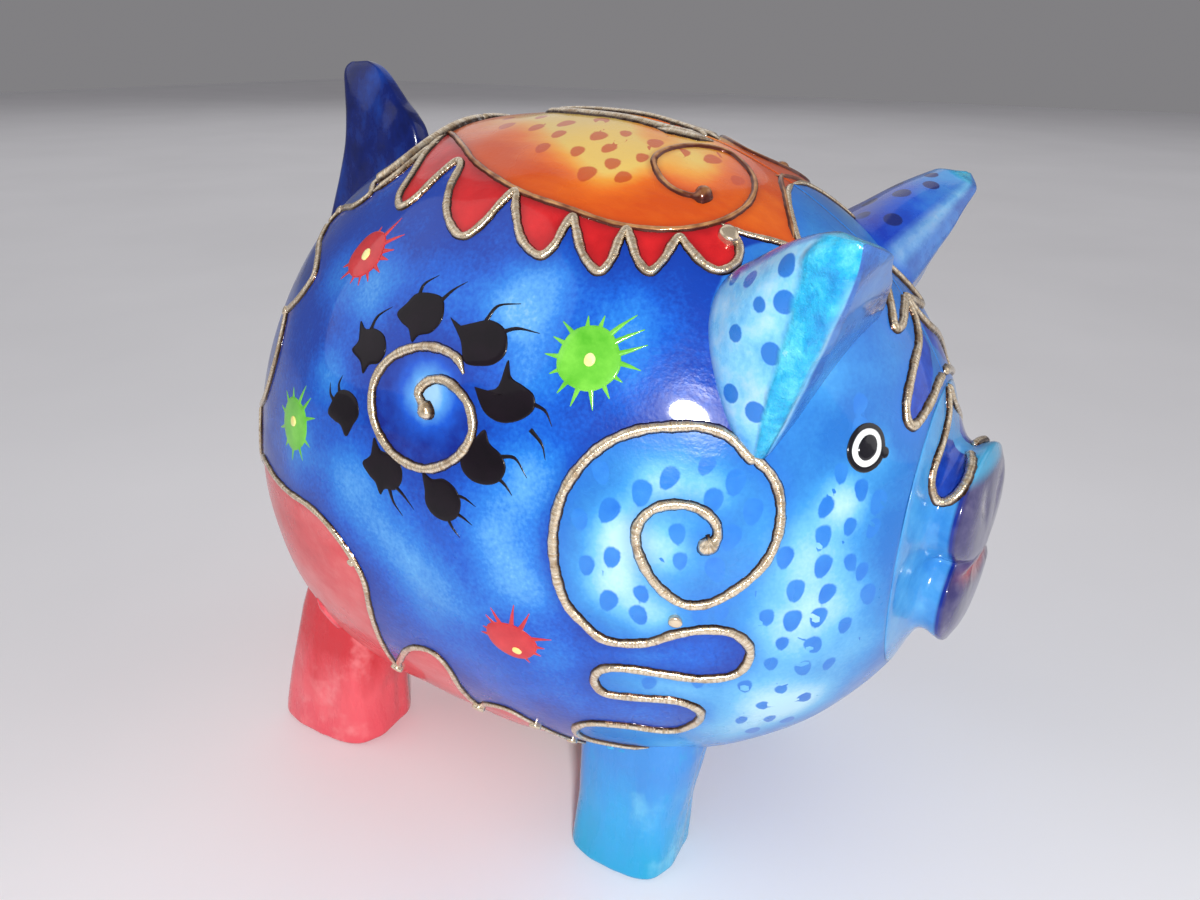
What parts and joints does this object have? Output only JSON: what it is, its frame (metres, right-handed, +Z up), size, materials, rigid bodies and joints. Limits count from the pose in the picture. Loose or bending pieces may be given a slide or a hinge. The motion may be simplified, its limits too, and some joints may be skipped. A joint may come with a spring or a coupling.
{
  "type": "wooden money box",
  "caption": "Carved, hand-painted wooden money box shaped like a standing pig, with a coin slot in its back and a pull-out belly stopper.",
  "frame": {"origin": "on the floor under the middle of the overall bounding box", "axes": "+Z up, -Y towards the snout, -X towards the pig's own right side"},
  "size_m": [0.126, 0.1763, 0.1708],
  "materials": {
    "body_paint": "hand-painted blue under thick glossy varnish",
    "front_leg_paint": "hand-painted turquoise, glossy varnish",
    "rear_leg_paint": "hand-painted coral, glossy varnish",
    "ear_paint": "hand-painted sky blue, glossy varnish",
    "tail_paint": "hand-painted navy, glossy varnish",
    "snout_paint": "hand-painted plum blue, glossy varnish",
    "stopper_wood": "turned wood, oiled",
    "bare_wood": "raw beech dowel"
  },
  "bodies": {
    "pig": {"body_right_half": "body_paint", "body_left_half": "body_paint", "leg_front_right": "front_leg_paint", "leg_front_left": "front_leg_paint", "leg_rear_right": "rear_leg_paint", "leg_rear_left": "rear_leg_paint", "ear_right": "ear_paint", "ear_left": "ear_paint", "tail_fin": "tail_paint", "snout": "snout_paint", "dowel_leg_front_right": "bare_wood", "dowel_leg_front_left": "bare_wood", "dowel_leg_rear_right": "bare_wood", "dowel_leg_rear_left": "bare_wood", "dowel_ear_right": "bare_wood", "dowel_ear_left": "bare_wood", "dowel_tail": "bare_wood", "dowel_snout": "bare_wood"},
    "stopper": {"belly_stopper": "stopper_wood"}
  },
  "joints": [
    {"name": "stopper_pull", "type": "slide", "parent": "pig", "child": "stopper", "axis": [0, 0, -1], "range_m": [0, 0.01]}
  ]
}
